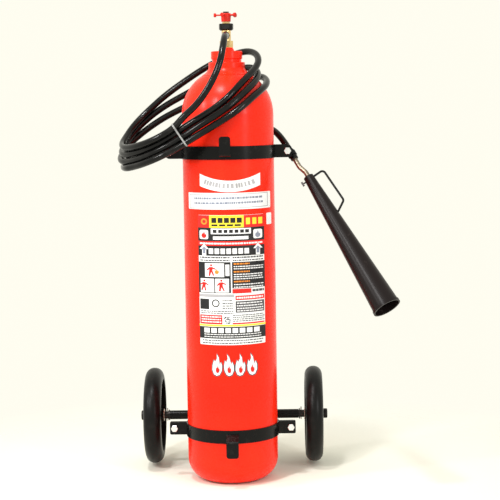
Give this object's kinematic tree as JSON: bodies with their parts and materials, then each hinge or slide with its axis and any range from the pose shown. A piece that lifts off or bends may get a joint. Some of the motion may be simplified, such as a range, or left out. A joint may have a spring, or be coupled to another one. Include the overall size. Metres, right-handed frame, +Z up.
{
  "type": "wheeled fire extinguisher",
  "caption": "Carbon dioxide fire extinguisher on a wheeled carriage, with a handwheel valve, a looped hose and a long discharge horn clipped at its side.",
  "frame": {"origin": "on the floor under the cylinder's axis, at the centre of the ring that the cylinder stands on", "axes": "+Z up along the cylinder, +X to the right of a person who faces the labels, -Y towards that person; the axle lies behind the cylinder at +Y"},
  "size_m": [0.7013, 0.5032, 1.194],
  "materials": {
    "red_paint": "gloss red enamel",
    "black_paint": "satin black powder coat",
    "brass": "machined, slightly dulled",
    "aged_brass": "bent pipe, dulled and browned",
    "nickel": "thin rolled foil",
    "aluminium": "drawn tube",
    "nylon": "natural nylon",
    "ptfe": "white packing",
    "black_nut": "blackened steel",
    "zinc": "bright zinc plate",
    "bright_steel": "turned bar",
    "dark_steel": "oiled black",
    "black_plastic": "moulded",
    "grip_rubber": "ribbed soft grip",
    "hose_rubber": "smooth black cover",
    "clear_tie": "translucent nylon tie",
    "handwheel_red": "moulded red",
    "tyre": "solid rubber",
    "rim_paint": "black enamel on pressed steel",
    "horn_plastic": "black moulding, lightly scuffed",
    "rod_black": "dipped steel rod",
    "label_film": "printed self-adhesive film"
  },
  "bodies": {
    "carriage": {"cylinder": "red_paint", "neck_collar": "red_paint", "valve_body": "brass", "siphon_tube": "aluminium", "burst_plug": "brass", "burst_disc": "nickel", "seat_ring": "nylon", "bonnet": "black_nut", "gland_packing": "ptfe", "gland_nut": "brass", "band_lower_front": "black_paint", "band_lower_rear": "black_paint", "band_upper_front": "black_paint", "band_upper_rear": "black_paint", "band_bolts": "zinc", "band_nuts": "zinc", "upper_hook": "black_paint", "lower_hook": "black_paint", "upright_left": "black_paint", "upright_right": "black_paint", "upright_caps": "black_plastic", "cross_tie_lower": "black_paint", "cross_tie_upper": "black_paint", "axle_plate_left": "black_paint", "axle_plate_right": "black_paint", "pull_handle": "black_paint", "handle_grip": "grip_rubber", "axle": "dark_steel", "axle_tube": "black_paint", "axle_washers": "dark_steel", "split_pins": "zinc", "axle_caps": "black_nut", "horn_pipe": "aged_brass", "horn_jet": "brass", "horn_ferrule": "black_nut", "horn_clip": "black_paint", "union_nut": "brass", "valve_ferrule": "black_nut", "hose_lead": "hose_rubber", "hose_tail": "hose_rubber", "hose_hank": "hose_rubber", "hose_tie": "clear_tie", "label_data": "label_film", "label_main": "label_film", "label_flame": "label_film", "label_sticker": "label_film", "label_banner": "label_film"},
    "handwheel": {"handwheel": "handwheel_red", "spindle": "bright_steel", "handwheel_nut": "dark_steel"},
    "valve_plug": {"valve_plug": "brass"},
    "left_wheel": {"tyre_left": "tyre", "wheel_rim_left": "rim_paint", "wheel_bushes_left": "nylon"},
    "right_wheel": {"tyre_right": "tyre", "wheel_rim_right": "rim_paint", "wheel_bushes_right": "nylon"},
    "horn": {"horn": "horn_plastic", "horn_handle": "rod_black", "horn_screw": "dark_steel"}
  },
  "joints": [
    {"name": "left_wheel_spin", "type": "hinge", "parent": "carriage", "child": "left_wheel", "pos_m": [-0.213, 0.15, 0.1335], "axis": [1, 0, 0], "continuous": true},
    {"name": "right_wheel_spin", "type": "hinge", "parent": "carriage", "child": "right_wheel", "pos_m": [0.213, 0.15, 0.1335], "axis": [1, 0, 0], "continuous": true},
    {"name": "handwheel_turn", "type": "hinge", "parent": "carriage", "child": "handwheel", "pos_m": [0, 0, 1.18], "axis": [0, 0, 1], "range_deg": [0, 900]},
    {"name": "valve_plug_lift", "type": "slide", "parent": "carriage", "child": "valve_plug", "axis": [0, 0, 1], "range_m": [0, 0.0044]},
    {"name": "horn_swivel", "type": "hinge", "parent": "carriage", "child": "horn", "pos_m": [0.2029, -0.01, 0.7753], "axis": [0.451, -0.453, -0.769], "continuous": true}
  ],
  "couplings": [
    {"joint": "valve_plug_lift", "follows": "handwheel_turn", "m_per_rad": 0.00027852}
  ]
}
